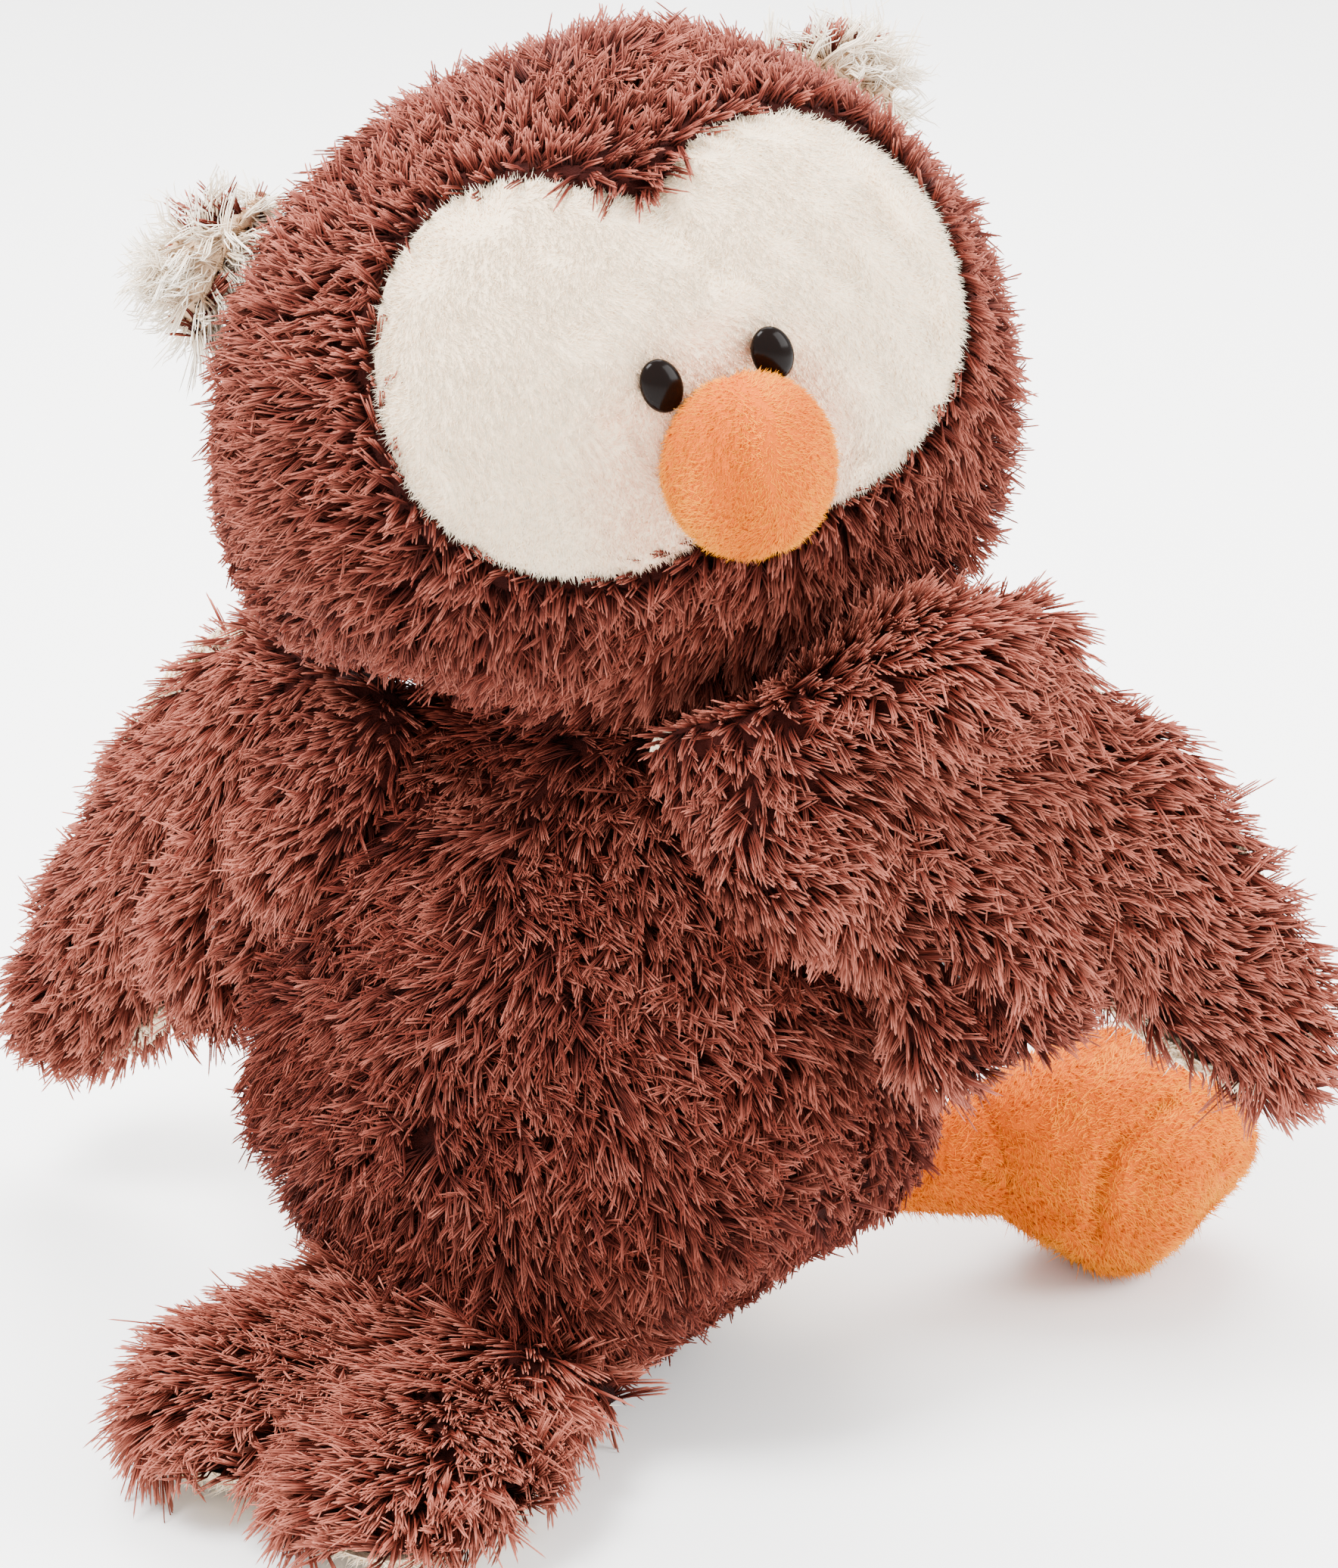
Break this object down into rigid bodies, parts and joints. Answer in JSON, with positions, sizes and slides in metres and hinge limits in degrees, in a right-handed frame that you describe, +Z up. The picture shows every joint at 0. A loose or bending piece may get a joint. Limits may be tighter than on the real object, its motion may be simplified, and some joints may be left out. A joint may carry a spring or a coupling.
{
  "type": "plush owl",
  "caption": "Seated plush owl with a swivel head turned over its shoulder, lobed wings, a cream face and belly, a round orange beak, orange feet and a shaggy tail.",
  "frame": {"origin": "on the ground in the middle of the flat seat that the body rests on", "axes": "+Z up; the belly faces -Y, the tail lies towards +Y, and the owl's left is +X; the head is turned to look back over its right shoulder"},
  "size_m": [0.3428, 0.2958, 0.3325],
  "materials": {
    "brown_plush": "long shaggy pile, dark at the roots and lighter at the tips",
    "cream_plush": "short dense pile",
    "orange_plush": "short dense pile",
    "cream_mohair": "long mohair-like tuft",
    "fibre_fill": "loose polyester fibre, hidden",
    "pellet_cloth": "plain woven bag of pellets, hidden",
    "black_gloss": "polished",
    "white_plastic": "moulded, hidden",
    "fibre_board": "pressed fibre board, hidden",
    "zinc_steel": "zinc plated, hidden"
  },
  "bodies": {
    "body": {"body_cover": "brown_plush", "belly_panel": "cream_plush", "body_stuffing": "fibre_fill", "pellet_bag": "pellet_cloth", "body_disc": "fibre_board", "body_washer": "zinc_steel"},
    "head": {"head_cover": "brown_plush", "face_panel": "cream_plush", "head_stuffing": "fibre_fill", "left_eye": "black_gloss", "right_eye": "black_gloss", "left_eye_washer": "white_plastic", "right_eye_washer": "white_plastic", "beak_cover": "orange_plush", "beak_stuffing": "fibre_fill", "left_ear_tuft": "cream_mohair", "right_ear_tuft": "cream_mohair", "head_disc": "fibre_board", "head_washer": "zinc_steel", "neck_bolt": "zinc_steel", "neck_nut": "zinc_steel"},
    "left_wing": {"left_wing_cover": "brown_plush", "left_wing_lining": "cream_plush", "left_wing_stuffing": "fibre_fill"},
    "left_leg": {"left_leg_cover": "orange_plush", "left_leg_stuffing": "fibre_fill"},
    "right_wing": {"right_wing_cover": "brown_plush", "right_wing_lining": "cream_plush", "right_wing_stuffing": "fibre_fill"},
    "right_leg": {"right_leg_cover": "orange_plush", "right_leg_stuffing": "fibre_fill"},
    "tail": {"tail_cover": "brown_plush", "tail_lining": "cream_plush", "tail_stuffing": "fibre_fill"}
  },
  "joints": [
    {"name": "head_turn", "type": "hinge", "parent": "body", "child": "head", "pos_m": [-0.004, -0.027, 0.178], "axis": [0.1422, 0.0996, 0.9848], "continuous": true},
    {"name": "left_wing_lift", "type": "hinge", "parent": "body", "child": "left_wing", "pos_m": [0.05, 0.009, 0.163], "axis": [0.0872, -0.9962, 0], "range_deg": [0, 20]},
    {"name": "right_wing_lift", "type": "hinge", "parent": "body", "child": "right_wing", "pos_m": [-0.0424, 0.009, 0.173], "axis": [-0.4226, 0.9063, 0], "range_deg": [0, 20]},
    {"name": "left_leg_lift", "type": "hinge", "parent": "body", "child": "left_leg", "pos_m": [0.046, -0.072, 0.048], "axis": [-0.788, -0.6157, 0], "range_deg": [0, 40]},
    {"name": "right_leg_lift", "type": "hinge", "parent": "body", "child": "right_leg", "pos_m": [-0.046, -0.072, 0.048], "axis": [-0.788, 0.6157, 0], "range_deg": [0, 40]},
    {"name": "tail_lift", "type": "hinge", "parent": "body", "child": "tail", "pos_m": [0, 0.073, 0.038], "axis": [1, 0, 0], "range_deg": [0, 20]}
  ]
}
